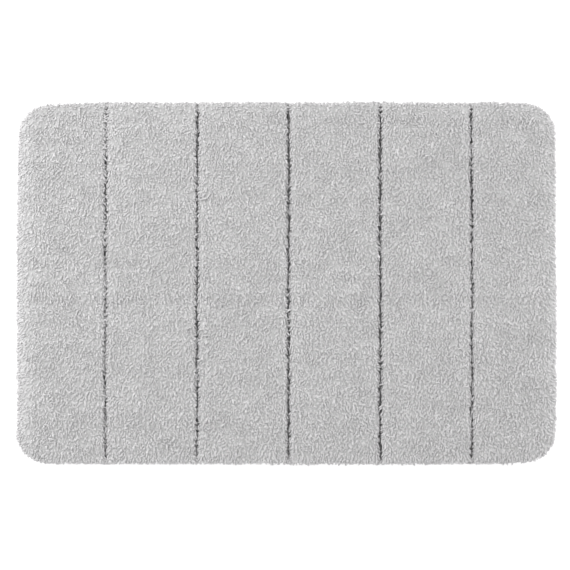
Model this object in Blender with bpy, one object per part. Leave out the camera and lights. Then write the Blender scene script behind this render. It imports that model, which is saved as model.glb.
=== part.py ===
"""A tufted bath mat: six fields of cut pile on one backing, parted by five straight channels.

The mat lies on Z = 0 with its length along X, its channels along Y and its origin in the
middle of its underside. From the floor up it is a rubber skin, a latex coat that locks the
tufts, a woven backing and the pile. A ring of overlock yarn wraps the edge of the sheets.
"""

import bmesh
import bpy

# The mat as a whole
MAT_LENGTH = 0.900
MAT_WIDTH = 0.600
MAT_HEIGHT = 0.022
CORNER_RADIUS = 0.050

# The channels where no tufts are sewn
CHANNEL_COUNT = 5
CHANNEL_PITCH = 0.153
CHANNEL_WIDTH = 0.005

# The pile: how it rounds off at a channel, along the rim, and under its overhang
CHANNEL_ROUNDING = 0.005
RIM_ROUNDING = 0.010
LIP_ROUNDING = 0.003
PILE_OVERHANG = 0.006

# The sheets under the pile
RUBBER_THICKNESS = 0.0016
COAT_THICKNESS = 0.0008
CLOTH_THICKNESS = 0.0010

# The overlock yarn round the sheets, and how far its stitches reach in over them
YARN_THICKNESS = 0.0007
STITCH_REACH = 0.006
YARN_ROUNDING = 0.0015

# The label under one corner: its free length, its width, and how far its middle is from the end
LABEL_LENGTH = 0.040
LABEL_WIDTH = 0.025
LABEL_THICKNESS = 0.0004
LABEL_LIFT = 0.0001
LABEL_FROM_END = 0.110

# Room between pieces that touch on the real mat
CLEARANCE = 0.0003

# How finely arcs are cut, and how far a cutter passes what it cuts
CORNER_STEPS = 8
EDGE_STEPS = 4
CUT_PAST = 0.020

# Heights of the layers, from the floor up
PRESSED_UNDERSIDE = YARN_THICKNESS + CLEARANCE
RUBBER_TOP = RUBBER_THICKNESS
COAT_BOTTOM = RUBBER_TOP + CLEARANCE
COAT_TOP = COAT_BOTTOM + COAT_THICKNESS
CLOTH_BOTTOM = COAT_TOP + CLEARANCE
CLOTH_TOP = CLOTH_BOTTOM + CLOTH_THICKNESS
ROOT_BOTTOM = CLOTH_TOP + CLEARANCE
RING_TOP = ROOT_BOTTOM + YARN_THICKNESS
OVERHANG_BOTTOM = RING_TOP + CLEARANCE

# How far each outline lies inside the outline of the pile
RING_INSET = PILE_OVERHANG
POCKET_INSET = RING_INSET + YARN_THICKNESS
SHEET_INSET = POCKET_INSET + CLEARANCE
STITCH_INSET = SHEET_INSET + STITCH_REACH
FREE_INSET = STITCH_INSET + CLEARANCE


def clear_scene():
    for obj in list(bpy.data.objects):
        bpy.data.objects.remove(obj, do_unlink=True)


def new_collection(name):
    made = bpy.data.collections.new(name)
    bpy.context.scene.collection.children.link(made)
    return made


def material(name, colour, roughness, metallic=0.0):
    made = bpy.data.materials.new(name)
    made.use_nodes = True
    shader = made.node_tree.nodes["Principled BSDF"]
    shader.inputs["Base Color"].default_value = (*colour, 1.0)
    shader.inputs["Roughness"].default_value = roughness
    shader.inputs["Metallic"].default_value = metallic
    made.diffuse_color = (*colour, 1.0)
    return made


def add_object(name, bm, collection, finish=None, location=(0.0, 0.0, 0.0)):
    """Turns a bmesh into a named object, with its location as its origin."""
    mesh = bpy.data.meshes.new(name)
    bm.to_mesh(mesh)
    bm.free()
    obj = bpy.data.objects.new(name, mesh)
    obj.location = location
    collection.objects.link(obj)
    if finish:
        mesh.materials.append(finish)
    return obj


def add_guide(name, bm, location=(0.0, 0.0, 0.0)):
    """A solid that only shapes others: left out of renders and drawn as wire."""
    guide = add_object(name, bm, guides, location=location)
    guide.hide_render = True
    guide.display_type = "WIRE"
    return guide


def box(length, width, low, high):
    """A box centred on the origin in X and Y, between two heights."""
    bm = bmesh.new()
    bmesh.ops.create_cube(bm, size=1.0)
    bmesh.ops.scale(bm, vec=(length, width, high - low), verts=bm.verts)
    bmesh.ops.translate(bm, vec=(0.0, 0.0, (low + high) / 2), verts=bm.verts)
    return bm


def bevel(bm, edges, radius, steps):
    bmesh.ops.bevel(
        bm,
        geom=edges,
        offset=radius,
        segments=steps,
        profile=0.5,
        affect="EDGES",
        clamp_overlap=True,
    )


def upright_edges(bm):
    """The edges that run up and down."""
    found = []
    for edge in bm.edges:
        a, b = (vert.co for vert in edge.verts)
        if abs(a.x - b.x) < 1e-6 and abs(a.y - b.y) < 1e-6:
            found.append(edge)
    return found


def level_edges(bm, height):
    """The edges that lie at one height."""
    return [e for e in bm.edges if all(abs(v.co.z - height) < 1e-6 for v in e.verts)]


def slab(inset, low, high):
    """The mat's outline drawn in by an inset, as a slab between two heights."""
    bm = box(MAT_LENGTH - 2 * inset, MAT_WIDTH - 2 * inset, low, high)
    bevel(bm, upright_edges(bm), CORNER_RADIUS - inset, CORNER_STEPS)
    return bm


def boolean(obj, operation, other):
    cut = obj.modifiers.new(f"{operation.lower()} {other.name}", "BOOLEAN")
    cut.operation = operation
    cut.solver = "EXACT"
    cut.object = other


def smooth_rounds(obj, angle=0.6):
    obj.data.shade_smooth()
    obj.data.set_sharp_from_angle(angle=angle)


def make_rubber():
    """The anti-slip skin: full height in the middle, pressed thin where the stitches wrap it."""
    skin = add_object(
        "anti_slip_backing", slab(SHEET_INSET, PRESSED_UNDERSIDE, RUBBER_TOP), mat, rubber
    )
    middle_top = (PRESSED_UNDERSIDE + RUBBER_TOP) / 2
    boolean(skin, "UNION", add_guide("rubber_middle", slab(FREE_INSET, 0.0, middle_top)))
    boolean(skin, "DIFFERENCE", make_label_recess())
    return skin


def label_place():
    """Centre of the label's free part. Its caught end stops just short of the stitches."""
    along = MAT_LENGTH / 2 - LABEL_FROM_END
    caught_end = -(MAT_WIDTH / 2 - STITCH_INSET) + CLEARANCE
    return along, caught_end + LABEL_LENGTH / 2, 0.0


def make_label_recess():
    """The hollow that the label presses into the rubber, open towards the edge of the mat."""
    x, y, z = label_place()
    roof = LABEL_LIFT + LABEL_THICKNESS + CLEARANCE
    length = LABEL_LENGTH + 2 * CLEARANCE
    shape = box(LABEL_WIDTH + 2 * CLEARANCE, length, -CUT_PAST, roof)
    return add_guide("label_recess", shape, (x, y, z))


def make_label():
    shape = box(LABEL_WIDTH, LABEL_LENGTH, LABEL_LIFT, LABEL_LIFT + LABEL_THICKNESS)
    return add_object("care_label", shape, mat, ribbon, label_place())


def make_sheets():
    """The latex coat and the woven cloth, cut to one outline."""
    coat = add_object("tuft_lock_coat", slab(SHEET_INSET, COAT_BOTTOM, COAT_TOP), mat, latex)
    cloth = add_object("primary_backing", slab(SHEET_INSET, CLOTH_BOTTOM, CLOTH_TOP), mat, weave)
    return [coat, cloth]


def make_overlock():
    """The ring of edge yarn: a C in section, wrapped over, round and under the sheets."""
    shape = slab(RING_INSET, 0.0, RING_TOP)
    bevel(shape, level_edges(shape, RING_TOP) + level_edges(shape, 0.0), YARN_ROUNDING, EDGE_STEPS)
    ring = add_object("edge_overlock", shape, mat, yarn)
    pocket = add_guide("sheet_pocket", slab(POCKET_INSET, YARN_THICKNESS, ROOT_BOTTOM))
    opening = add_guide("ring_opening", slab(STITCH_INSET, -CUT_PAST, RING_TOP + CUT_PAST))
    boolean(ring, "DIFFERENCE", pocket)
    boolean(ring, "DIFFERENCE", opening)
    return ring


def make_pile_envelope():
    """The whole pile as one form: a rounded crown over the ring, on roots inside the ring."""
    shape = slab(0.0, OVERHANG_BOTTOM, MAT_HEIGHT)
    bevel(shape, level_edges(shape, MAT_HEIGHT), RIM_ROUNDING, EDGE_STEPS)
    bevel(shape, level_edges(shape, OVERHANG_BOTTOM), LIP_ROUNDING, EDGE_STEPS)
    envelope = add_guide("pile_envelope", shape)
    root_top = (OVERHANG_BOTTOM + MAT_HEIGHT) / 2
    boolean(envelope, "UNION", add_guide("pile_roots", slab(FREE_INSET, ROOT_BOTTOM, root_top)))
    return envelope


def panel_edges():
    """Where the panels start and end along X, as if the channels had no width."""
    first = -CHANNEL_PITCH * (CHANNEL_COUNT - 1) / 2
    channels = [first + CHANNEL_PITCH * i for i in range(CHANNEL_COUNT)]
    outside = MAT_LENGTH / 2 + CUT_PAST
    return [-outside, *channels, outside]


def make_panels():
    """Each panel is a block with rounded channel edges, kept where the pile's form is."""
    envelope = make_pile_envelope()
    edges = panel_edges()
    panels = []
    for number, (left, right) in enumerate(zip(edges, edges[1:]), start=1):
        block_top = MAT_HEIGHT + CHANNEL_ROUNDING / 10
        length = right - left - CHANNEL_WIDTH
        shape = box(length, MAT_WIDTH + 2 * CUT_PAST, ROOT_BOTTOM - CUT_PAST, block_top)
        bevel(shape, level_edges(shape, block_top), CHANNEL_ROUNDING, EDGE_STEPS)
        middle = ((left + right) / 2, 0.0, 0.0)
        panel = add_object(f"pile_panel_{number}", shape, mat, pile, middle)
        boolean(panel, "INTERSECT", envelope)
        panels.append(panel)
    return panels


clear_scene()
mat = new_collection("bath_mat")
guides = new_collection("bath_mat_guides")

pile = material("pile", (0.62, 0.62, 0.62), 0.95)
weave = material("backing_cloth", (0.36, 0.36, 0.36), 0.90)
latex = material("latex", (0.70, 0.68, 0.62), 0.70)
rubber = material("anti_slip_rubber", (0.80, 0.80, 0.78), 0.55)
yarn = material("overlock_yarn", (0.58, 0.58, 0.58), 0.85)
ribbon = material("label_ribbon", (0.86, 0.86, 0.85), 0.60)

pieces = [make_rubber(), make_label(), *make_sheets(), make_overlock(), *make_panels()]

floor_centre = bpy.data.objects.new("mat_origin", None)
mat.objects.link(floor_centre)
for piece in pieces:
    piece.parent = floor_centre
    smooth_rounds(piece)
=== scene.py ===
import math

import bmesh
import bpy
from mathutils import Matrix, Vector, noise


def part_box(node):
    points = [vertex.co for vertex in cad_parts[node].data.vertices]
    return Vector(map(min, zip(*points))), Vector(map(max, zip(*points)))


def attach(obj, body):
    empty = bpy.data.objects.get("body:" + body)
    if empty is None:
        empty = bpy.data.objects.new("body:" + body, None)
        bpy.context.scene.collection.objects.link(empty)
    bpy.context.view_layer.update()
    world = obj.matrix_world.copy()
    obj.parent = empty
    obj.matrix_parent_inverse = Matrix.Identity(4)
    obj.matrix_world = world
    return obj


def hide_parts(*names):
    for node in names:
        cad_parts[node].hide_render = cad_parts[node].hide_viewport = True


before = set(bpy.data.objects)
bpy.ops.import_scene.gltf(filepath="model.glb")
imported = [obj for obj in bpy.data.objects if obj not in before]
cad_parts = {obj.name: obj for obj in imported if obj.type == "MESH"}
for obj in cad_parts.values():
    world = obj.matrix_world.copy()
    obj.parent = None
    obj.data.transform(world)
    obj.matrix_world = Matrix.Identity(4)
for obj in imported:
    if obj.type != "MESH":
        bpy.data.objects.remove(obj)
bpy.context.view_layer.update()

# ------------------------------------------------------------------------------
# Anti-slip skin: one sheet of soft white rubber, spread over the whole underside.
# It is rolled thinner along the edge, where the edge stitches wrap round it, and
# it stays a little clear of the floor: the cast domes of the next section carry it.
# ------------------------------------------------------------------------------

OUTLINE_RADIUS = 0.050
SKIN_UNDERSIDE = 0.0006
SKIN_CELL = 0.012
# The thinner edge: how wide it is, and how far its underside lies below the coat.
EDGE_ROLL = 0.0063
EDGE_BELOW_COAT = 0.0009

pile_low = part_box("pile_panel_1")[0]
HALF_LENGTH, HALF_WIDTH = -pile_low.x, -pile_low.y


def reach(x, half_length, half_width, radius):
    """How far a sheet with round corners reaches to each side at this place along it."""
    past = max(abs(x) - (half_length - radius), 0.0)
    return half_width - radius + math.sqrt(max(radius**2 - past**2, 0.0))


def crowded(t, even, at_ends):
    """A place from -1 to 1 moved so that places lie closer together towards both ends."""
    return even * t + at_ends * math.sin(t * math.pi / 2)


def cut_sheet(name, half_length, half_width, low, high, cell):
    """A sheet with the mat's round corners as a closed mesh, its cells closer at its edge."""
    radius = OUTLINE_RADIUS - (HALF_LENGTH - half_length)
    bm = bmesh.new()
    across, along = round(2 * half_length / cell), round(2 * half_width / cell)
    bmesh.ops.create_grid(bm, x_segments=across, y_segments=along, size=1.0)
    for vert in bm.verts:
        u, v = (crowded(t, 0.3, 0.7) for t in vert.co.xy)
        x = u * half_length
        vert.co = (x, v * reach(x, half_length, half_width, radius), low)
    raised = bmesh.ops.extrude_face_region(bm, geom=bm.faces[:], use_keep_orig=True)
    for vert in (made for made in raised["geom"] if isinstance(made, bmesh.types.BMVert)):
        vert.co.z = high
    bmesh.ops.recalc_face_normals(bm, faces=bm.faces)
    return shown(name, bm)


def shown(name, bm):
    """The finished mesh as an object of that name, with its place in its mesh."""
    mesh = bpy.data.meshes.new(name)
    bm.to_mesh(mesh)
    bm.free()
    made = bpy.data.objects.new(name, mesh)
    bpy.context.scene.collection.objects.link(made)
    return made


def step(tree, kind, into=None, **settings):
    """One node of a tree. Its inputs are given by name or number, as values or as sockets."""
    made = tree.nodes.new(kind)
    for name, value in settings.items():
        setattr(made, name, value)
    for place, value in (into or {}).items():
        socket = made.inputs[place]
        if isinstance(value, bpy.types.NodeSocket):
            tree.links.new(value, socket)
        else:
            socket.default_value = value
    return made


def maths(tree, operation, *values):
    return step(tree, "ShaderNodeMath", dict(enumerate(values)), operation=operation).outputs[0]


def plus(tree, first, second):
    return maths(tree, "ADD", first, second)


def minus(tree, first, second):
    return maths(tree, "SUBTRACT", first, second)


def times(tree, first, second):
    return maths(tree, "MULTIPLY", first, second)


def divided(tree, first, second):
    return maths(tree, "DIVIDE", first, second)


def times_plus(tree, value, factor, added):
    return maths(tree, "MULTIPLY_ADD", value, factor, added)


def mixed(tree, first, first_share, second, second_share):
    return plus(tree, times(tree, first, first_share), times(tree, second, second_share))


def spread(tree, value, low, high, to_low, to_high):
    """The value's range stretched or squeezed to another range, and held inside it."""
    given = {0: value, 1: low, 2: high, 3: to_low, 4: to_high}
    return step(tree, "ShaderNodeMapRange", given).outputs[0]


def clouds(tree, place, scale, detail):
    """Soft noise at this scale: its value first, then its colour."""
    given = {"Vector": place, "Scale": scale, "Detail": detail}
    return step(tree, "ShaderNodeTexNoise", given).outputs


def effect(name, takes, gives):
    """A shader group with named inputs and outputs, for an effect that finishes share."""
    tree = bpy.data.node_groups.new(name, "ShaderNodeTree")
    for label, value in takes.items():
        kind = "NodeSocketVector" if value is None else "NodeSocketFloat"
        socket = tree.interface.new_socket(label, in_out="INPUT", socket_type=kind)
        if value is not None:
            socket.default_value = value
    for label in gives:
        tree.interface.new_socket(label, in_out="OUTPUT", socket_type="NodeSocketFloat")
    return tree, tree.nodes.new("NodeGroupInput").outputs, tree.nodes.new("NodeGroupOutput").inputs


def finish(name, roughness, **uniform):
    """A material, its node tree, its shader, and where it is on the piece."""
    made = bpy.data.materials.new(name)
    made.use_nodes = True
    tree = made.node_tree
    shader = tree.nodes["Principled BSDF"]
    shader.inputs["Roughness"].default_value = roughness
    for label, value in uniform.items():
        shader.inputs[label.replace("_", " ")].default_value = value
    place = step(tree, "ShaderNodeTexCoord").outputs["Object"]
    return made, tree, shader, place


def with_effect(tree, effect_tree, into):
    return step(tree, "ShaderNodeGroup", into, node_tree=effect_tree).outputs


def tinted(tree, shader, amount, dark, light):
    """Base colour from dark to light with an amount from 0 to 1."""
    mix_of = {0: amount, 6: (*dark, 1.0), 7: (*light, 1.0)}
    mix = step(tree, "ShaderNodeMix", mix_of, data_type="RGBA")
    tree.links.new(mix.outputs[2], shader.inputs["Base Color"])


def roughened(tree, shader, amount, at_none, at_full):
    """Roughness from one value to another with an amount from 0 to 1."""
    tree.links.new(spread(tree, amount, 0.0, 1.0, at_none, at_full), shader.inputs["Roughness"])


def raised_by(tree, shader, height, depth):
    """Bump from a height of 0 to 1 that stands for this depth in metres."""
    bump = step(tree, "ShaderNodeBump", {"Height": height, "Distance": depth, "Strength": 1.0})
    tree.links.new(bump.outputs["Normal"], shader.inputs["Normal"])


# Handling: broad soft patches and a fine grain, which every finish of the mat has some of.
handling, takes, gives = effect(
    "handling", {"Place": None, "Patch": 14.0, "Grain": 900.0}, ["Patches", "Grain"]
)
patches = clouds(handling, takes["Place"], takes["Patch"], 2.0)
grain = clouds(handling, takes["Place"], takes["Grain"], 3.0)
handling.links.new(spread(handling, patches[0], 0.3, 0.7, 0.0, 1.0), gives["Patches"])
handling.links.new(spread(handling, grain[0], 0.25, 0.75, 0.0, 1.0), gives["Grain"])

rubber, tree, shader, place = finish("anti_slip_rubber", 0.55, Specular_IOR_Level=0.35)
worn = with_effect(tree, handling, {"Place": place, "Patch": 22.0, "Grain": 1500.0})
tone = mixed(tree, worn["Patches"], 0.6, worn["Grain"], 0.4)
tinted(tree, shader, tone, (0.70, 0.70, 0.67), (0.84, 0.84, 0.82))
roughened(tree, shader, worn["Patches"], 0.48, 0.66)
raised_by(tree, shader, worn["Grain"], 0.00008)

skin_low, skin_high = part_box("anti_slip_backing")
pressed_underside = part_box("tuft_lock_coat")[0].z - EDGE_BELOW_COAT
skin = cut_sheet("rubber_skin", skin_high.x, skin_high.y, SKIN_UNDERSIDE, skin_high.z, SKIN_CELL)
for vert in skin.data.vertices:
    if vert.co.z < (SKIN_UNDERSIDE + skin_high.z) / 2:
        inside = min(skin_high.x - abs(vert.co.x), skin_high.y - abs(vert.co.y))
        rolled = 1.0 - min(inside / EDGE_ROLL, 1.0)
        vert.co.z = SKIN_UNDERSIDE + (pressed_underside - SKIN_UNDERSIDE) * min(2.0 * rolled, 1.0)
skin.data.materials.append(rubber)
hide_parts("anti_slip_backing")
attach(skin, "root")

# ------------------------------------------------------------------------------
# Grip domes: drops of the same rubber, cast on the skin in staggered rows and
# reaching the floor. The rows leave a bare patch where the label lies.
# ------------------------------------------------------------------------------

DOME_PITCH = 0.014
DOME_RADIUS = 0.0030
DOME_CLEAR_OF_EDGE = 0.020
# How far apart staggered rows stand, as a share of the pitch.
DOME_ROW_SHARE = 0.866


def vectors(tree, operation, *values):
    made = step(tree, "ShaderNodeVectorMath", dict(enumerate(values)), operation=operation)
    return made.outputs["Value" if operation in ("DOT_PRODUCT", "LENGTH") else "Vector"]


def scaled(tree, vector, factor):
    made = step(tree, "ShaderNodeVectorMath", {0: vector, "Scale": factor}, operation="SCALE")
    return made.outputs["Vector"]


def joined(tree, x=0.0, y=0.0, z=0.0):
    return step(tree, "ShaderNodeCombineXYZ", {0: x, 1: y, 2: z}).outputs[0]


def split(tree, vector):
    return step(tree, "ShaderNodeSeparateXYZ", {0: vector}).outputs


def shape_tree(name, sizes):
    """A geometry tree with the shape it starts from and these sizes as its named inputs."""
    tree = bpy.data.node_groups.new(name, "GeometryNodeTree")
    tree.interface.new_socket("Geometry", in_out="INPUT", socket_type="NodeSocketGeometry")
    kinds = {float: "Float", int: "Int", bpy.types.Material: "Material"}
    for label, value in sizes.items():
        kind = "NodeSocket" + kinds[type(value)]
        socket = tree.interface.new_socket(label, in_out="INPUT", socket_type=kind)
        socket.default_value = value
    tree.interface.new_socket("Geometry", in_out="OUTPUT", socket_type="NodeSocketGeometry")
    return tree, tree.nodes.new("NodeGroupInput").outputs, tree.nodes.new("NodeGroupOutput").inputs


def kept_as(tree, geometry, name, value, kind="FLOAT", domain="POINT"):
    given = {"Geometry": geometry, "Name": name, "Value": value}
    made = step(tree, "GeometryNodeStoreNamedAttribute", given, data_type=kind, domain=domain)
    return made.outputs[0]


def named(tree, name, kind="FLOAT"):
    made = step(tree, "GeometryNodeInputNamedAttribute", {"Name": name}, data_type=kind)
    return made.outputs["Attribute"]


def moved(tree, geometry, place):
    made = step(tree, "GeometryNodeSetPosition", {"Geometry": geometry, "Position": place})
    return made.outputs[0]


def in_from_outline(tree, place, half_length, half_width, radius):
    """How far inside the mat's outline a place is, and which way is out to its nearest edge."""
    flat = vectors(tree, "MULTIPLY", place, (1.0, 1.0, 0.0))
    round_from = joined(tree, minus(tree, half_length, radius), minus(tree, half_width, radius))
    past = vectors(tree, "SUBTRACT", vectors(tree, "ABSOLUTE", flat), round_from)
    outer = vectors(tree, "MAXIMUM", past, (0.0, 0.0, 0.0))
    x, y, _ = split(tree, past)
    inner = maths(tree, "MINIMUM", maths(tree, "MAXIMUM", x, y), 0.0)
    distance = minus(tree, radius, plus(tree, vectors(tree, "LENGTH", outer), inner))
    way_out = vectors(tree, "NORMALIZE", outer)
    return distance, vectors(tree, "MULTIPLY", way_out, vectors(tree, "SIGN", flat))


def finished_copies(tree, copies, material):
    """Makes the copies real, and gives each a cell of its own in one square bake map."""
    counted = {"Geometry": copies}
    counted = step(tree, "GeometryNodeAttributeDomainSize", counted, component="INSTANCES")
    cells = maths(tree, "CEIL", maths(tree, "SQRT", counted.outputs["Instance Count"]))
    index = step(tree, "GeometryNodeInputIndex").outputs[0]
    copies = kept_as(tree, copies, "made_cell", index, "FLOAT", "INSTANCE")
    real = step(tree, "GeometryNodeRealizeInstances", {"Geometry": copies}).outputs[0]
    cell = named(tree, "made_cell")
    column = maths(tree, "FLOORED_MODULO", cell, cells)
    row = maths(tree, "FLOOR", divided(tree, plus(tree, cell, 0.5), cells))
    margin = 0.03
    used = 1.0 - 2 * margin
    own_map = named(tree, "copy_map", "FLOAT_VECTOR")
    inside = vectors(tree, "MULTIPLY_ADD", own_map, (used, used, 0.0), (margin, margin, 0.0))
    place = vectors(tree, "ADD", inside, joined(tree, column, row))
    place = scaled(tree, place, divided(tree, 1.0, cells))
    real = kept_as(tree, real, "OFBake", place, "FLOAT2", "CORNER")
    real = step(tree, "GeometryNodeSetShadeSmooth", {"Geometry": real}).outputs[0]
    covered = {"Geometry": real, "Material": material}
    return step(tree, "GeometryNodeSetMaterial", covered).outputs[0]


def cleared(tree, geometry):
    """Drops the attributes that only the building needed."""
    given = {"Geometry": geometry, "Name": "made_*"}
    made = step(tree, "GeometryNodeRemoveAttribute", given, pattern_mode="WILDCARD")
    return made.outputs[0]


def grown(name, tree, sizes, start=None):
    """The tree's shape with these sizes, as a plain mesh object."""
    seed = bpy.data.objects.new(name + "_seed", start or bpy.data.meshes.new(name + "_seed"))
    bpy.context.scene.collection.objects.link(seed)
    modifier = seed.modifiers.new("grow", "NODES")
    modifier.node_group = tree
    for item in tree.interface.items_tree:
        if item.in_out == "INPUT" and item.name in sizes:
            modifier[item.identifier] = sizes[item.name]
    graph = bpy.context.evaluated_depsgraph_get()
    mesh = bpy.data.meshes.new_from_object(seed.evaluated_get(graph), depsgraph=graph)
    mesh.name = name
    bpy.data.objects.remove(seed)
    made = bpy.data.objects.new(name, mesh)
    bpy.context.scene.collection.objects.link(made)
    return made


dome_tree, size, result = shape_tree("grip domes", {
    "Half Length": HALF_LENGTH, "Half Width": HALF_WIDTH, "Corner Radius": OUTLINE_RADIUS,
    "Pitch": DOME_PITCH, "Clear Of Edge": DOME_CLEAR_OF_EDGE, "Dome Radius": DOME_RADIUS,
    "Dome Height": SKIN_UNDERSIDE, "Bare Left": 0.32, "Bare Right": 0.36, "Bare Depth": 0.06,
    "Rubber": rubber,
})
tree = dome_tree
rows_apart = times(tree, size["Pitch"], DOME_ROW_SHARE)
columns = maths(tree, "FLOOR", divided(tree, size["Half Length"], size["Pitch"]))
columns = times(tree, plus(tree, columns, 1.0), 2.0)
rows = maths(tree, "FLOOR", divided(tree, size["Half Width"], rows_apart))
rows = times(tree, plus(tree, rows, 1.0), 2.0)
lattice = step(tree, "GeometryNodeMeshGrid", {
    "Size X": times(tree, columns, size["Pitch"]), "Size Y": times(tree, rows, rows_apart),
    "Vertices X": plus(tree, columns, 1.0), "Vertices Y": plus(tree, rows, 1.0),
})
here = step(tree, "GeometryNodeInputPosition").outputs[0]
x, y, _ = split(tree, here)
row = maths(tree, "ROUND", divided(tree, y, rows_apart))
odd_row = maths(tree, "FLOORED_MODULO", row, 2.0)
stagger = times(tree, odd_row, times(tree, size["Pitch"], 0.5))
place = joined(tree, plus(tree, x, stagger), y, size["Dome Height"])
staggered = moved(tree, lattice.outputs["Mesh"], place)
here = step(tree, "GeometryNodeInputPosition").outputs[0]
x, y, _ = split(tree, here)
inside, _ = in_from_outline(
    tree, here, size["Half Length"], size["Half Width"], size["Corner Radius"]
)
off = maths(tree, "LESS_THAN", inside, size["Clear Of Edge"])
past_left = maths(tree, "GREATER_THAN", x, size["Bare Left"])
bare = times(tree, past_left, maths(tree, "LESS_THAN", x, size["Bare Right"]))
near_edge = maths(tree, "LESS_THAN", plus(tree, y, size["Half Width"]), size["Bare Depth"])
off = maths(tree, "MAXIMUM", off, times(tree, bare, near_edge))
taken_off = {"Geometry": staggered, "Selection": off}
spots = step(tree, "GeometryNodeDeleteGeometry", taken_off, domain="POINT")
ball = step(tree, "GeometryNodeMeshUVSphere", {"Segments": 8, "Rings": 4, "Radius": 1.0})
drop = kept_as(tree, ball.outputs["Mesh"], "copy_map", ball.outputs["UV Map"], "FLOAT2", "CORNER")
flatness = joined(tree, size["Dome Radius"], size["Dome Radius"], size["Dome Height"])
cast = {"Points": spots.outputs[0], "Instance": drop, "Scale": flatness}
drops = step(tree, "GeometryNodeInstanceOnPoints", cast).outputs[0]
tree.links.new(cleared(tree, finished_copies(tree, drops, size["Rubber"])), result[0])

label_low, label_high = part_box("care_label")
domes = grown("grip_domes", dome_tree, {
    "Bare Left": label_low.x - DOME_RADIUS, "Bare Right": label_high.x + DOME_RADIUS,
    "Bare Depth": label_high.y + HALF_WIDTH + DOME_RADIUS,
})
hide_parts("anti_slip_backing")
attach(domes, "root")

# ------------------------------------------------------------------------------
# Care label: a short blank ribbon of woven satin. One end is caught under the edge
# stitches. The rest lies loose against the skin, with its corners lifting a little.
# ------------------------------------------------------------------------------

RIBBON_CAUGHT = 0.004
RIBBON_CURL = 0.00015
# Where the stitches hold it: how high its middle is, and how soon it comes down to the skin.
RIBBON_HELD_HEIGHT = 0.0006
RIBBON_EASES_OVER = 0.006

# Plain weave: threads that cross over and under each other, from their number to the metre.
weave, takes, gives = effect(
    "plain weave", {"Place": None, "Across": 1000.0, "Along": 1000.0}, ["Height", "Crossing"]
)
x, y, _ = split(weave, takes["Place"])
warp = maths(weave, "SINE", times(weave, times(weave, x, takes["Across"]), math.pi))
weft = maths(weave, "SINE", times(weave, times(weave, y, takes["Along"]), math.pi))
up = spread(weave, times(weave, warp, weft), -0.2, 0.2, 0.0, 1.0)
warp_part = times(weave, maths(weave, "ABSOLUTE", warp), up)
weft_part = times(weave, maths(weave, "ABSOLUTE", weft), minus(weave, 1.0, up))
weave.links.new(plus(weave, warp_part, weft_part), gives["Height"])
weave.links.new(up, gives["Crossing"])

satin, tree, shader, place = finish("label_ribbon", 0.60, Sheen_Weight=0.25, Sheen_Roughness=0.4)
threads = with_effect(tree, weave, {"Place": place, "Across": 2600.0, "Along": 1300.0})
worn = with_effect(tree, handling, {"Place": place, "Patch": 60.0, "Grain": 2500.0})
tone = mixed(tree, threads["Height"], 0.5, worn["Grain"], 0.5)
tinted(tree, shader, tone, (0.74, 0.74, 0.72), (0.88, 0.88, 0.87))
roughened(tree, shader, threads["Crossing"], 0.45, 0.68)
raised_by(tree, shader, threads["Height"], 0.00012)

ribbon_length = label_high.y - label_low.y + RIBBON_CAUGHT
ribbon_thick = label_high.z - label_low.z
held_lift = RIBBON_HELD_HEIGHT - ribbon_thick / 2
bm = bmesh.new()
bmesh.ops.create_grid(bm, x_segments=12, y_segments=20, size=0.5)
for vert in bm.verts:
    u, v = vert.co.x * 2.0, vert.co.y + 0.5
    free = min(max((v * ribbon_length - RIBBON_CAUGHT) / RIBBON_EASES_OVER, 0.0), 1.0)
    lift = held_lift * (1.0 - free * free * (3.0 - 2.0 * free)) + RIBBON_CURL * u * u * v**4
    x = (label_low.x + label_high.x) / 2 + u * (label_high.x - label_low.x) / 2
    vert.co = (x, label_low.y - RIBBON_CAUGHT + v * ribbon_length, label_low.z / 2 + lift)
raised = bmesh.ops.extrude_face_region(bm, geom=bm.faces[:], use_keep_orig=True)
for vert in (made for made in raised["geom"] if isinstance(made, bmesh.types.BMVert)):
    vert.co.z += ribbon_thick * 0.8
bmesh.ops.recalc_face_normals(bm, faces=bm.faces)
ribbon = shown("label_ribbon", bm)
ribbon.data.materials.append(satin)
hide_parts("care_label")
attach(ribbon, "root")

# ------------------------------------------------------------------------------
# Latex coat: spread wet over the back of the cloth, where it sets round the roots of
# the tufts and locks them. It stays cream coloured, and shows only if the mat is cut.
# ------------------------------------------------------------------------------

latex, tree, shader, place = finish("latex", 0.70, Specular_IOR_Level=0.3)
worn = with_effect(tree, handling, {"Place": place, "Patch": 30.0, "Grain": 600.0})
tone = mixed(tree, worn["Patches"], 0.5, worn["Grain"], 0.5)
tinted(tree, shader, tone, (0.60, 0.57, 0.49), (0.74, 0.72, 0.65))
roughened(tree, shader, worn["Grain"], 0.6, 0.8)
raised_by(tree, shader, worn["Grain"], 0.0003)
coat = bpy.data.objects["tuft_lock_coat"]
coat.data.materials.clear()
coat.data.materials.append(latex)

# ------------------------------------------------------------------------------
# Backing cloth: a plain weave of flat grey tapes, into which every tuft is stitched.
# It shows only as the floor of the five channels, where no tufts were stitched.
# ------------------------------------------------------------------------------

CLOTH_CELL = 0.010
TAPES = 480.0  # to the metre

tape, tree, shader, place = finish("backing_cloth", 0.90, Specular_IOR_Level=0.25)
threads = with_effect(tree, weave, {"Place": place, "Across": TAPES, "Along": TAPES})
worn = with_effect(tree, handling, {"Place": place, "Patch": 18.0, "Grain": 1200.0})
tone = times(tree, plus(tree, threads["Height"], worn["Grain"]), 0.5)
tinted(tree, shader, tone, (0.24, 0.24, 0.24), (0.38, 0.38, 0.38))
roughened(tree, shader, worn["Grain"], 0.82, 0.96)
raised_by(tree, shader, threads["Height"], 0.0004)

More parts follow.
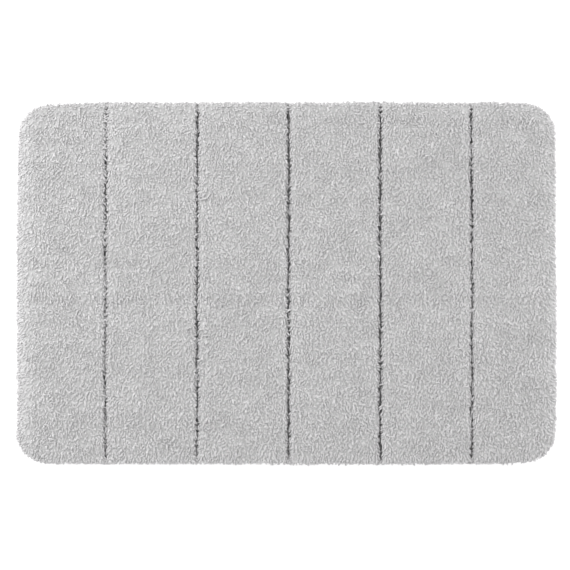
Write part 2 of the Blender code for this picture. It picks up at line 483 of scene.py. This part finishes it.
cloth_low, cloth_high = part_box("primary_backing")
cloth = cut_sheet(
    "backing_cloth", cloth_high.x, cloth_high.y, cloth_low.z, cloth_high.z, CLOTH_CELL
)
cloth.data.materials.append(tape)
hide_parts("primary_backing")
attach(cloth, "root")

# ------------------------------------------------------------------------------
# Edge overlock: soft yarn sewn over, round and under the edge of the sheets, one
# slanted stitch beside the next, right round the mat, with the pile hanging over it.
# ------------------------------------------------------------------------------

STITCH_PITCH = 0.0018
STITCH_SLANT = 0.0011
# The bend round the edge is drawn squarer than half a circle as this falls below 1.
STITCH_SQUARENESS = 0.6

# Yarn: fibres that wind round a strand, from a map that runs round and along it.
fibres, takes, gives = effect(
    "yarn fibres", {"Map": None, "Around": 9.0, "Winding": 3.0}, ["Height", "Shade"]
)
u, v, _ = split(fibres, takes["Map"])
turned = times_plus(fibres, v, takes["Winding"], times(fibres, u, takes["Around"]))
wound = clouds(fibres, joined(fibres, turned, v), 3.0, 2.0)[0]
fibres.links.new(spread(fibres, wound, 0.3, 0.7, 0.0, 1.0), gives["Height"])
fibres.links.new(spread(fibres, wound, 0.25, 0.6, 0.0, 1.0), gives["Shade"])

edging, tree, shader, place = finish("overlock_yarn", 0.85, Sheen_Weight=0.15, Sheen_Roughness=0.5)
round_strand = step(tree, "ShaderNodeAttribute", attribute_name="copy_map").outputs["Vector"]
strand = with_effect(tree, fibres, {"Map": round_strand, "Around": 6.0, "Winding": 14.0})
worn = with_effect(tree, handling, {"Place": place, "Patch": 25.0, "Grain": 1800.0})
tone = mixed(tree, strand["Shade"], 0.6, worn["Patches"], 0.4)
tinted(tree, shader, tone, (0.46, 0.46, 0.46), (0.62, 0.62, 0.62))
roughened(tree, shader, strand["Height"], 0.92, 0.78)
raised_by(tree, shader, strand["Height"], 0.0002)

stitch_tree, size, result = shape_tree("overlock stitches", {
    "Half Length": 0.444, "Half Width": 0.294, "Corner Radius": 0.044,
    "Stitches": 1600, "Reach": 0.007, "Yarn Thickness": 0.0007, "Yarn Width": 0.0020,
    "Half Height": 0.0025, "Slant": STITCH_SLANT, "Yarn": edging,
})
tree = stitch_tree
half_yarn = times(tree, size["Yarn Thickness"], 0.5)
edge_line = step(tree, "GeometryNodeCurvePrimitiveQuadrilateral", {
    "Width": times(tree, size["Half Length"], 2.0),
    "Height": times(tree, size["Half Width"], 2.0),
})
rounded = step(tree, "GeometryNodeFilletCurve", {
    "Curve": edge_line.outputs[0], "Radius": size["Corner Radius"], "Count": 24,
    "Limit Radius": False,
}, mode="POLY")
holes = step(tree, "GeometryNodeCurveToPoints", {
    "Curve": rounded.outputs[0], "Count": size["Stitches"],
}, mode="COUNT")
tube = step(tree, "GeometryNodeMeshCylinder", {
    "Vertices": 4, "Side Segments": 11, "Radius": 1.0, "Depth": 1.0,
}, fill_type="NGON")
x, y, z = split(tree, step(tree, "GeometryNodeInputPosition").outputs[0])
body = kept_as(tree, tube.outputs["Mesh"], "copy_map", tube.outputs["UV Map"], "FLOAT2", "CORNER")
# The straight part above, the bend round the edge, and the straight part below.
bend_radius = minus(tree, size["Half Height"], half_yarn)
straight = minus(tree, size["Reach"], size["Half Height"])
bend_length = times(tree, bend_radius, math.pi)
whole = plus(tree, times(tree, straight, 2.0), bend_length)
run = times(tree, plus(tree, z, 0.5), whole)
first = maths(tree, "MINIMUM", run, straight)
past_first = minus(tree, run, straight)
in_bend = maths(tree, "MINIMUM", maths(tree, "MAXIMUM", past_first, 0.0), bend_length)
last = maths(tree, "MAXIMUM", minus(tree, past_first, bend_length), 0.0)
angle = divided(tree, in_bend, bend_radius)
sine, cosine = maths(tree, "SINE", angle), maths(tree, "COSINE", angle)
square_sine = maths(tree, "POWER", maths(tree, "MAXIMUM", sine, 0.0), STITCH_SQUARENESS)
square_cosine = maths(tree, "POWER", maths(tree, "ABSOLUTE", cosine), STITCH_SQUARENESS)
square_cosine = times(tree, maths(tree, "SIGN", cosine), square_cosine)
out = times(tree, square_sine, bend_radius)
out = plus(tree, out, minus(tree, minus(tree, first, straight), last))
rise = times(tree, square_cosine, bend_radius)
off_line = times(tree, y, half_yarn)
out = plus(tree, out, times(tree, off_line, sine))
rise = plus(tree, rise, times(tree, off_line, cosine))
aside = times(tree, x, times(tree, size["Yarn Width"], 0.5))
aside = plus(tree, aside, times(tree, z, times(tree, size["Slant"], 2.0)))
stitch = moved(tree, body, joined(tree, aside, times(tree, out, -1.0), rise))
facing = step(tree, "FunctionNodeAlignRotationToVector", {
    "Vector": holes.outputs["Tangent"], "Factor": 1.0,
}, axis="X", pivot_axis="Z")
sewn = step(tree, "GeometryNodeInstanceOnPoints", {
    "Points": holes.outputs["Points"], "Instance": stitch, "Rotation": facing.outputs[0],
})
lifted = step(tree, "GeometryNodeTransform", {
    "Geometry": finished_copies(tree, sewn.outputs[0], size["Yarn"]),
    "Translation": joined(tree, 0.0, 0.0, size["Half Height"]),
})
tree.links.new(cleared(tree, lifted.outputs[0]), result[0])

edge_low, edge_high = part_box("edge_overlock")
half_height = (edge_high.z - edge_low.z) / 2
line_length, line_width = edge_high.x - half_height, edge_high.y - half_height
line_radius = OUTLINE_RADIUS - (HALF_LENGTH - line_length)
around = 4 * (line_length + line_width) - (8 - 2 * math.pi) * line_radius
stitches = grown("edge_stitches", stitch_tree, {
    "Half Length": line_length, "Half Width": line_width, "Corner Radius": line_radius,
    "Stitches": round(around / STITCH_PITCH), "Half Height": half_height,
})
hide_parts("edge_overlock")
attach(stitches, "root")

# ------------------------------------------------------------------------------
# Pile: cut tufts of thick soft yarn, stitched into the cloth so close that each panel
# stands as one crowned pad, and only the tips part. They are combed down the mat and
# turned out over the rim. The channels are where the needles were left out.
# ------------------------------------------------------------------------------

# How high the pads stand, with lumps on top, and how far they pass the panels at the edges.
PAD_TOP = 0.0174
LUMP_HEIGHT = 0.0006
LUMP_SCALE = 190.0
PAD_PAST_SIDE = 0.0014
PAD_PAST_LEFT_END = 0.0050
PAD_PAST_RIGHT_END = -0.0030
# How wide the pads' rounded edges are.
SHOULDER_AT_LEFT_END = 0.030
SHOULDER_AT_RIGHT_END = 0.022
SHOULDER_AT_SIDE = 0.005
SHOULDER_AT_CHANNEL = 0.006
# How far the pile leans in over each channel, left to right, and over a channel's two ends.
CHANNEL_PINCH = (0.0015, 0.0011, 0.0006, 0.0004, 0.0009)
CHANNEL_END_PINCH = 0.0030
CHANNEL_END = 0.0120
# How far the edges wander, and how far each corner is drawn in: far left and right, then near.
CHANNEL_WANDER = 0.0013
OUTLINE_WANDER = 0.0012
CORNERS_DRAWN_IN = (0.0055, 0.0025, 0.0025, 0.0045)
# Where the pile hangs past the edge stitches: how wide, how far it droops, and how far its
# tips stay clear of the floor.
OVERHANG = 0.0080
OVERHANG_DROOP = 0.0028
TIPS_CLEAR_FLOOR = 0.0008
# The left end, where the tips lie smooth.
SMOOTH_END = 0.026
# The fold the mat was packed in: a low ridge and a valley across it, each by place and height.
FOLD = ((-0.016, 0.0017), (-0.038, -0.0015))
FOLD_WIDTH = 0.009

pile_yarn, tree, shader, place = finish(
    "pile_yarn", 0.95, Specular_IOR_Level=0.15, Sheen_Weight=0.10, Sheen_Roughness=0.6
)
round_strand = step(tree, "ShaderNodeAttribute", attribute_name="copy_map").outputs["Vector"]
strand = with_effect(tree, fibres, {"Map": round_strand, "Around": 8.0, "Winding": 2.0})
worn = with_effect(tree, handling, {"Place": place, "Patch": 30.0, "Grain": 130.0})
# Each tip's own random tone, with a painted highlight on the tips of the channel shoulders.
tuft_tone_and_highlight = step(tree, "ShaderNodeAttribute", attribute_name="tuft_tone_and_highlight").outputs["Fac"]
# Faint lighter and darker bands across the mat: painted shade lines across the pile.
across_mat = vectors(tree, "MULTIPLY", place, (1.2, 60.0, 0.0))
painted_bands = spread(tree, clouds(tree, across_mat, 1.0, 2.0)[0], 0.3, 0.7, 0.0, 1.0)
tone = mixed(tree, tuft_tone_and_highlight, 0.30, strand["Shade"], 0.14)
tone = times_plus(tree, worn["Patches"], 0.34, tone)
tone = times_plus(tree, worn["Grain"], 0.30, tone)
tone = times_plus(tree, painted_bands, 0.14, tone)
tinted(tree, shader, tone, (0.516, 0.510, 0.515), (0.698, 0.690, 0.697))
roughened(tree, shader, strand["Height"], 0.98, 0.88)
raised_by(tree, shader, strand["Height"], 0.0003)

# The pads are painted darker than the yarn: painted shade for the depth between the tufts and down
# the channels.
pile_depth_painted_shade, tree, shader, place = finish("pile_depth_painted_shade", 0.97, Specular_IOR_Level=0.1)
worn = with_effect(tree, handling, {"Place": place, "Patch": 160.0, "Grain": 700.0})
tone = mixed(tree, worn["Patches"], 0.5, worn["Grain"], 0.5)
# The mat's outer sides and its left end are painted lighter, with less of that painted shade.
x, y, _ = split(tree, place)
left_side = spread(tree, x, -HALF_LENGTH, SMOOTH_END - HALF_LENGTH, 1.0, 0.0)
right_side = spread(tree, x, HALF_LENGTH - 0.006, HALF_LENGTH - 0.002, 0.0, 1.0)
long_side = spread(tree, maths(tree, "ABSOLUTE", y), HALF_WIDTH - 0.004, HALF_WIDTH, 0.0, 1.0)
outer = maths(tree, "MAXIMUM", left_side, maths(tree, "MAXIMUM", right_side, long_side))
tone = plus(tree, outer, tone)
tinted(tree, shader, tone, (0.35, 0.35, 0.35), (0.49, 0.49, 0.49))
roughened(tree, shader, worn["Grain"], 0.98, 0.92)
raised_by(tree, shader, worn["Patches"], 0.0010)


def shoulder(inside, radius):
    """How high a rounded edge has risen, from 0 to 1, this far inside it."""
    left = 1.0 - min(max(inside / radius, 0.0), 1.0)
    return math.sqrt(1.0 - left * left)


def wander(along, track, most):
    """A slow sideways wander along a line, the same for both panels beside it."""
    slow = noise.noise(Vector((along * 18.0, track * 7.3, 0.5)))
    quick = noise.noise(Vector((along * 75.0, track * 3.1, 4.5)))
    return most * (slow + 0.6 * quick)


def settled(x, y):
    """Where a place on the plan has crept to: the corners are drawn in, the far left one most."""
    corner = CORNERS_DRAWN_IN[(0 if y > 0 else 2) + (0 if x < 0 else 1)]
    drawn = corner * (x * y / (HALF_LENGTH * HALF_WIDTH)) ** 4
    return x - math.copysign(drawn, x), y - math.copysign(drawn, y)


def fold_height(y):
    """How far the packing fold lifts or lowers the pile here."""
    return sum(height * math.exp(-(((y - at) / FOLD_WIDTH) ** 2)) for at, height in FOLD)


def droop(from_side, x, number, left, right):
    """How far the pile's underside hangs below its roots: only near the mat's own edges."""
    from_end = x - left if number == 1 else right - x if number == len(panels) else OVERHANG
    out = 1.0 - min(max(min(from_side, from_end) / OVERHANG, 0.0), 1.0)
    return OVERHANG_DROOP * out ** 0.6


def pile_pad(number, left, right, left_shoulder, right_shoulder, base):
    """The body of one panel: crowned along its edges, flat where it sits on the cloth."""
    bm = bmesh.new()
    bmesh.ops.create_grid(bm, x_segments=34, y_segments=130, size=1.0)
    hangs_to = bm.verts.layers.float.new("hangs_to")
    length = right if number == len(panels) else -left if number == 1 else HALF_LENGTH
    width, radius = HALF_WIDTH + PAD_PAST_SIDE, OUTLINE_RADIUS
    for vert in bm.verts:
        u, v = (crowded(t, 0.45, 0.55) for t in vert.co.xy)
        x = (left + right) / 2 + u * (right - left) / 2
        limit = reach(x, length, width, radius)
        limit += wander(x, 20.0 + math.copysign(1.0, v), OUTLINE_WANDER)
        y = v * limit
        rise = shoulder(x - left, left_shoulder) * shoulder(right - x, right_shoulder)
        rise *= shoulder(limit - abs(y), SHOULDER_AT_SIDE)
        line = number - 1 if u < 0 else number
        x += wander(y, line, CHANNEL_WANDER) * u**4
        if 0 < line <= len(CHANNEL_PINCH):
            closing = 1.0 - min((limit - abs(y)) / CHANNEL_END, 1.0)
            lean_in = CHANNEL_PINCH[line - 1] + wander(y, 40.0 + line, CHANNEL_WANDER)
            x += math.copysign(lean_in + CHANNEL_END_PINCH * closing, u) * u**8
        lump = noise.noise(Vector((x, y, number)) * LUMP_SCALE)
        top = PAD_TOP + LUMP_HEIGHT * lump + fold_height(y)
        low = base - droop(limit - abs(y), x, number, left, right)
        vert.co = (*settled(x, y), low + rise * (top - low))
        vert[hangs_to] = low
    below = bmesh.ops.duplicate(bm, geom=bm.faces[:])["geom"]
    for vert in (made for made in below if isinstance(made, bmesh.types.BMVert)):
        vert.co.z = vert[hangs_to]
    under = [made for made in below if isinstance(made, bmesh.types.BMFace)]
    bmesh.ops.reverse_faces(bm, faces=under)
    bmesh.ops.remove_doubles(bm, verts=bm.verts, dist=1e-6)
    bm.verts.layers.float.remove(hangs_to)
    pad = shown(f"pile_pad_{number}", bm)
    pad.data.shade_smooth()
    pad.data.materials.append(pile_depth_painted_shade)
    return pad


panels = [f"pile_panel_{number}" for number in range(1, 7)]
tip_tree, size, result = shape_tree("tuft tips", {
    "Half Length": HALF_LENGTH, "Half Width": HALF_WIDTH, "Corner Radius": OUTLINE_RADIUS,
    "Closest": 0.0020, "Most Per Square Metre": 210000.0, "Tip Length": 0.0070,
    "Tip Radius": 0.00138, "Sink": 0.0018, "Smooth End": SMOOTH_END, "Row Pitch": 0.0076,
    "Tuft Across": 0.0050, "Tuft Along": 0.0065, "Pull To Tuft": 220.0, "Combed Down": 1.1,
    "Turned Out": 1.5, "Hanging": 1.6, "Into Row": 0.1, "Loose": 0.9, "Share Stray": 0.04,
    "Stray Extra": 0.6, "Share Cut Short": 0.10, "Short Length": 0.35, "Hanging Girth": 0.35,
    "Hanging Lean": 0.30, "Crimp": 0.004, "Seed": 1, "Yarn": pile_yarn,
})
tree = tip_tree


def chance(low, high, number, kind="FLOAT"):
    """A random value for each tip, always the same for the same panel."""
    made = step(tree, "FunctionNodeRandomValue", data_type=kind)
    first = 2 if kind == "FLOAT" else 0
    made.inputs[first].default_value, made.inputs[first + 1].default_value = low, high
    tree.links.new(plus(tree, size["Seed"], float(number)), made.inputs["Seed"])
    return made.outputs[1 if kind == "FLOAT" else 0]


upward = split(tree, step(tree, "GeometryNodeInputNormal").outputs[0])[2]
roots = step(tree, "GeometryNodeDistributePointsOnFaces", {
    "Mesh": size["Geometry"], "Selection": maths(tree, "GREATER_THAN", upward, -0.05),
    "Distance Min": size["Closest"], "Density Max": size["Most Per Square Metre"],
    "Seed": size["Seed"],
}, distribute_method="POISSON")
away = roots.outputs["Normal"]
here = step(tree, "GeometryNodeInputPosition").outputs[0]
x, y, _ = split(tree, here)
up = split(tree, away)[2]
steep = spread(tree, up, 0.25, 0.95, 1.0, 0.0)
inside, way_out = in_from_outline(
    tree, here, size["Half Length"], size["Half Width"], size["Corner Radius"]
)
at_rim = spread(tree, inside, 0.004, 0.022, 1.0, 0.0)
hanging = times(tree, at_rim, steep)
held = times_plus(tree, hanging, -0.8, 1.0)
left_end = times(tree, size["Half Length"], -1.0)
smooth = spread(tree, x, left_end, plus(tree, left_end, size["Smooth End"]), 1.0, 0.0)
smooth = times_plus(tree, smooth, -0.7, 1.0)
# Which way a tip is combed: down the mat and into its row, out at the rim, and a little astray,
# both patch by patch and on its own.
in_row = maths(tree, "SINE", times(tree, divided(tree, x, size["Row Pitch"]), 2 * math.pi))
in_row = times(tree, in_row, size["Into Row"])
combed = joined(tree, in_row, size["Combed Down"], times(tree, hanging, size["Hanging"]))
turned_out = scaled(tree, way_out, times(tree, at_rim, size["Turned Out"]))
combed = vectors(tree, "SUBTRACT", turned_out, combed)
astray = vectors(tree, "SUBTRACT", clouds(tree, here, 26.0, 1.0)[1], (0.5, 0.5, 0.5))
astray = vectors(tree, "MULTIPLY", astray, (2.6, 1.4, 0.0))
loose = scaled(tree, chance((-1.0, -1.0, 0.0), (1.0, 1.0, 0.0), 2, "FLOAT_VECTOR"), size["Loose"])
astray = scaled(tree, vectors(tree, "ADD", astray, loose), times(tree, held, smooth))
combed = vectors(tree, "ADD", combed, astray)
# The tips of one tuft lean together, towards its middle.
tuft_size = joined(tree, size["Tuft Across"], size["Tuft Along"], 1.0)
tufts = step(tree, "ShaderNodeTexVoronoi", {
    "Vector": vectors(tree, "DIVIDE", here, tuft_size), "Scale": 1.0, "Randomness": 0.85,
}, voronoi_dimensions="2D")
middle = vectors(tree, "MULTIPLY", tufts.outputs["Position"], tuft_size)
to_middle = vectors(tree, "MULTIPLY", vectors(tree, "SUBTRACT", middle, here), (1.0, 1.0, 0.0))
combed = vectors(tree, "ADD", combed, scaled(tree, to_middle, size["Pull To Tuft"]))
off_pad = scaled(tree, away, vectors(tree, "DOT_PRODUCT", combed, away))
level = vectors(tree, "NORMALIZE", vectors(tree, "SUBTRACT", combed, off_pad))
start = scaled(tree, away, times(tree, size["Sink"], held))
start = vectors(tree, "SUBTRACT", here, start)
# A few tips stray out longer, and more are cut short.
off_rim = minus(tree, 1.0, at_rim)
stray = maths(tree, "GREATER_THAN", chance(0.0, 1.0, 8), minus(tree, 1.0, size["Share Stray"]))
stray = times_plus(tree, times(tree, stray, off_rim), size["Stray Extra"], 1.0)
cut_short = maths(tree, "LESS_THAN", chance(0.0, 1.0, 9), size["Share Cut Short"])
cut_short = times(tree, cut_short, minus(tree, 1.0, size["Short Length"]))
length = times(tree, times(tree, chance(0.82, 1.12, 3), stray), minus(tree, 1.0, cut_short))
girth = times(tree, chance(0.8, 1.2, 4), times_plus(tree, hanging, size["Hanging Girth"], 1.0))
first_lean = times_plus(tree, hanging, size["Hanging Lean"], chance(0.30, 0.80, 5))
# Each tip has a tone of its own, less varied at the smooth left end. Tips on the steep shoulder of
# a channel, away from the rim, are painted lighter: a painted highlight for the light they catch.
tuft_tone_and_highlight = times_plus(tree, chance(-0.5, 0.5, 7), smooth, 0.5)
tuft_tone_and_highlight = times_plus(tree, times(tree, steep, off_rim), 1.2, tuft_tone_and_highlight)
spots = kept_as(tree, roots.outputs["Points"], "made_away", away, "FLOAT_VECTOR")
spots = kept_as(tree, spots, "made_level", level, "FLOAT_VECTOR")
spots = kept_as(tree, spots, "made_start", start, "FLOAT_VECTOR")
spots = kept_as(tree, spots, "made_length", times(tree, length, size["Tip Length"]))
spots = kept_as(tree, spots, "made_girth", times(tree, girth, size["Tip Radius"]))
spots = kept_as(tree, spots, "made_first_lean", first_lean)
spots = kept_as(tree, spots, "made_more_lean", chance(0.55, 0.95, 6))
spots = kept_as(tree, spots, "tuft_tone_and_highlight", tuft_tone_and_highlight)
# One tip: a straight rod, slim at the root, fuller above, and rounded off at the end.
rod = step(tree, "GeometryNodeMeshCylinder", {
    "Vertices": 4, "Side Segments": 2, "Radius": 1.0, "Depth": 1.0,
}, fill_type="NGON")
rod_x, rod_y, rod_z = split(tree, step(tree, "GeometryNodeInputPosition").outputs[0])
t = minus(tree, 1.0, plus(tree, rod_z, 0.5))
t = minus(tree, 1.0, maths(tree, "POWER", t, 1.5))
bloom = times_plus(tree, t, 0.25, 0.80)
rounding = times_plus(tree, maths(tree, "POWER", t, 6.0), -0.60, 1.0)
bloom = times(tree, bloom, rounding)
section = joined(tree, times(tree, rod_x, bloom), times(tree, rod_y, bloom), t)
tip = kept_as(tree, rod.outputs["Mesh"], "made_section", section, "FLOAT_VECTOR")
tip = kept_as(tree, tip, "copy_map", rod.outputs["UV Map"], "FLOAT2", "CORNER")
set_in = step(tree, "GeometryNodeInstanceOnPoints", {"Points": spots, "Instance": tip})
tips = finished_copies(tree, set_in.outputs[0], size["Yarn"])
# Each tip leans over more and more towards the way it is combed.
away, level = named(tree, "made_away", "FLOAT_VECTOR"), named(tree, "made_level", "FLOAT_VECTOR")
beside = vectors(tree, "CROSS_PRODUCT", away, level)
across, upper, t = split(tree, named(tree, "made_section", "FLOAT_VECTOR"))
length, girth = named(tree, "made_length"), named(tree, "made_girth")
first_lean, more_lean = named(tree, "made_first_lean"), named(tree, "made_more_lean")
lean = times_plus(tree, more_lean, t, first_lean)
sine, cosine = maths(tree, "SINE", lean), maths(tree, "COSINE", lean)
radius = divided(tree, length, more_lean)
high = times(tree, minus(tree, sine, maths(tree, "SINE", first_lean)), radius)
far = times(tree, minus(tree, maths(tree, "COSINE", first_lean), cosine), radius)
upper = times(tree, upper, girth)
high = minus(tree, high, times(tree, upper, sine))
far = plus(tree, far, times(tree, upper, cosine))
start = named(tree, "made_start", "FLOAT_VECTOR")
place = vectors(tree, "ADD", start, scaled(tree, away, high))
place = vectors(tree, "ADD", place, scaled(tree, level, far))
place = vectors(tree, "ADD", place, scaled(tree, beside, times(tree, across, girth)))
crimp = vectors(tree, "SUBTRACT", clouds(tree, place, 190.0, 1.0)[1], (0.5, 0.5, 0.5))
crimp = scaled(tree, crimp, times(tree, t, size["Crimp"]))
place = vectors(tree, "ADD", place, crimp)
# Only its height is held here, the mat being well inside one metre each way.
place = vectors(tree, "MAXIMUM", place, (-1.0, -1.0, TIPS_CLEAR_FLOOR))
tree.links.new(cleared(tree, moved(tree, tips, place)), result[0])

for number, panel in enumerate(panels, start=1):
    low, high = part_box(panel)
    at_left_end, at_right_end = number == 1, number == len(panels)
    left = low.x - (PAD_PAST_LEFT_END if at_left_end else 0.0)
    right = high.x + (PAD_PAST_RIGHT_END if at_right_end else 0.0)
    left_shoulder = SHOULDER_AT_LEFT_END if at_left_end else SHOULDER_AT_CHANNEL
    right_shoulder = SHOULDER_AT_RIGHT_END if at_right_end else SHOULDER_AT_CHANNEL
    pad = pile_pad(number, left, right, left_shoulder, right_shoulder, low.z)
    tips = grown(f"pile_tips_{number}", tip_tree, {"Seed": 17 * number}, pad.data.copy())
    for piece in (pad, tips):
        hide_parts(panel)
        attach(piece, "root")

# ------------------------------------------------------------------------------
# Studio: a plain white floor in a light tent that is brightest past the mat's two ends,
# with soft lamps to the left, to the right and low on the left. The camera hangs over the
# mat, and a hand's breadth towards its near side.
# ------------------------------------------------------------------------------

FLOOR_SIZE = 12.0
FLOOR_GLOW = 0.42
# How bright the tent is at its sides, how much its roof adds, and how much its ends add.
TENT_SIDES = 0.45
TENT_ROOF = 0.75
TENT_ENDS = 1.5
CAMERA_DISTANCE = 2.375
CAMERA_ELEVATION = 89.0
CAMERA_LENS = 90.0
CAMERA_SHIFT = (-0.0066, -0.0042)

paper, tree, shader, place = finish("studio_paper", 0.90)
worn = with_effect(tree, handling, {"Place": place, "Patch": 0.5, "Grain": 60.0})
tinted(tree, shader, worn["Grain"], (0.69, 0.69, 0.69), (0.71, 0.71, 0.71))
shader.inputs["Emission Color"].default_value = (1.0, 1.0, 1.0, 1.0)
shader.inputs["Emission Strength"].default_value = FLOOR_GLOW
bm = bmesh.new()
bmesh.ops.create_grid(bm, x_segments=4, y_segments=4, size=FLOOR_SIZE / 2)
floor = shown("studio_floor", bm)
floor.data.materials.append(paper)

world = bpy.data.worlds.new("light_tent")
world.use_nodes = True
tree = world.node_tree
x, y, z = split(tree, step(tree, "ShaderNodeTexCoord").outputs["Generated"])
glow = times_plus(tree, maths(tree, "MAXIMUM", z, 0.0), TENT_ROOF, TENT_SIDES)
glow = times_plus(tree, maths(tree, "POWER", maths(tree, "ABSOLUTE", x), 4.0), TENT_ENDS, glow)
seen = step(tree, "ShaderNodeLightPath").outputs["Is Camera Ray"]
glow = maths(tree, "MAXIMUM", glow, seen)
tree.links.new(glow, tree.nodes["Background"].inputs["Strength"])
tree.nodes["Background"].inputs["Color"].default_value = (1.0, 1.0, 1.0, 1.0)
bpy.context.scene.world = world


def soft_lamp(name, place, width, power):
    """A round soft lamp that faces the middle of the mat."""
    light = bpy.data.lights.new(name, "AREA")
    light.shape, light.size, light.energy = "DISK", width, power
    made = bpy.data.objects.new(name, light)
    made.location = place
    made.rotation_euler = (-Vector(place)).to_track_quat("-Z", "Y").to_euler()
    bpy.context.scene.collection.objects.link(made)


soft_lamp("left_lamp", (-1.1, 0.9, 1.3), 0.9, 17.0)
soft_lamp("right_lamp", (1.6, 0.2, 0.5), 0.8, 9.0)
soft_lamp("low_left_lamp", (-1.7, 0.0, 0.35), 0.6, 6.0)

camera = bpy.data.objects.new("camera", bpy.data.cameras.new("camera"))
camera.data.lens, camera.data.sensor_width = CAMERA_LENS, 36.0
camera.data.shift_x, camera.data.shift_y = CAMERA_SHIFT
target = Vector((0.0, 0.0, 0.02))
tilt = math.radians(CAMERA_ELEVATION)
camera.location = target + CAMERA_DISTANCE * Vector((0.0, -math.cos(tilt), math.sin(tilt)))
camera.rotation_euler = (target - camera.location).to_track_quat("-Z", "Y").to_euler()
bpy.context.scene.collection.objects.link(camera)
bpy.context.scene.camera = camera
bpy.context.scene.view_settings.view_transform = "Standard"

bpy.context.view_layer.update()
